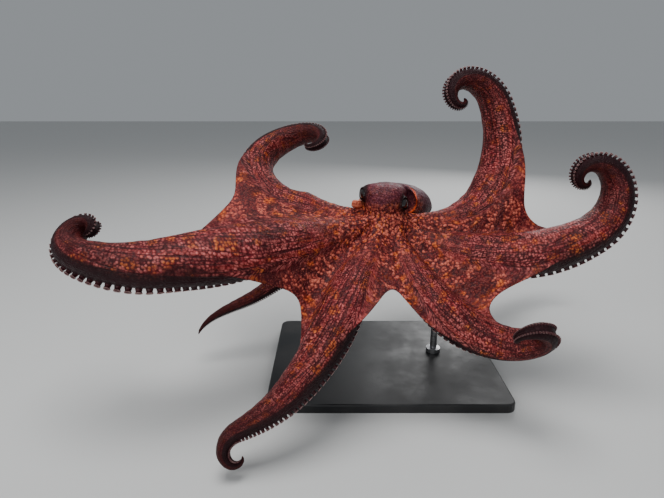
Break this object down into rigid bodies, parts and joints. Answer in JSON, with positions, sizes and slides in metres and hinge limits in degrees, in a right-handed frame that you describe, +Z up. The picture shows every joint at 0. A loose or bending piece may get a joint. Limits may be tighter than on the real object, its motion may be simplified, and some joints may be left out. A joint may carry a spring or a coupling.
{
  "type": "octopus",
  "caption": "Life-size octopus hovering with arms spread and their tips rolled back, web between the arms, head and mantle behind, held on two short rods over a flat base plate.",
  "frame": {"origin": "middle of the underside of the stand's base plate, below the middle of the crown of arms", "axes": "-Y is the way the animal's front looks, +X is the animal's left and the spread of the arms' longest way, +Z is up"},
  "size_m": [0.7509, 0.4649, 0.4239],
  "materials": {
    "skin": "moist mottled skin, semi-gloss",
    "web": "moist mottled skin, semi-gloss",
    "mantle": "moist dark skin, semi-gloss",
    "eye": "wet, glossy",
    "stand_base": "satin black",
    "stand_metal": "satin"
  },
  "bodies": {
    "root": {"arm_crown": "skin", "arm_l1_base": "skin", "arm_l1_middle": "skin", "arm_l1_outer": "skin", "arm_l1_tip": "skin", "arm_l2_base": "skin", "arm_l2_middle": "skin", "arm_l2_outer": "skin", "arm_l2_tip": "skin", "arm_l3_base": "skin", "arm_l3_middle": "skin", "arm_l3_outer": "skin", "arm_l3_tip": "skin", "arm_l4_base": "skin", "arm_l4_middle": "skin", "arm_l4_outer": "skin", "arm_l4_tip": "skin", "arm_r1_base": "skin", "arm_r1_middle": "skin", "arm_r1_outer": "skin", "arm_r1_tip": "skin", "arm_r2_base": "skin", "arm_r2_middle": "skin", "arm_r2_outer": "skin", "arm_r2_tip": "skin", "arm_r3_base": "skin", "arm_r3_middle": "skin", "arm_r3_outer": "skin", "arm_r3_tip": "skin", "arm_r4_base": "skin", "arm_r4_middle": "skin", "arm_r4_outer": "skin", "arm_r4_tip": "skin", "head": "skin", "funnel": "skin", "web_l1_r1": "web", "web_l2_l1": "web", "web_l3_l2": "web", "web_l4_l3": "web", "web_r1_r2": "web", "web_r2_r3": "web", "web_r3_r4": "web", "web_r4_l4": "web", "mantle": "mantle", "eye_left": "eye", "eye_right": "eye", "stand_base": "stand_base", "stand_rod_left": "stand_metal", "stand_rod_right": "stand_metal"}
  },
  "joints": []
}
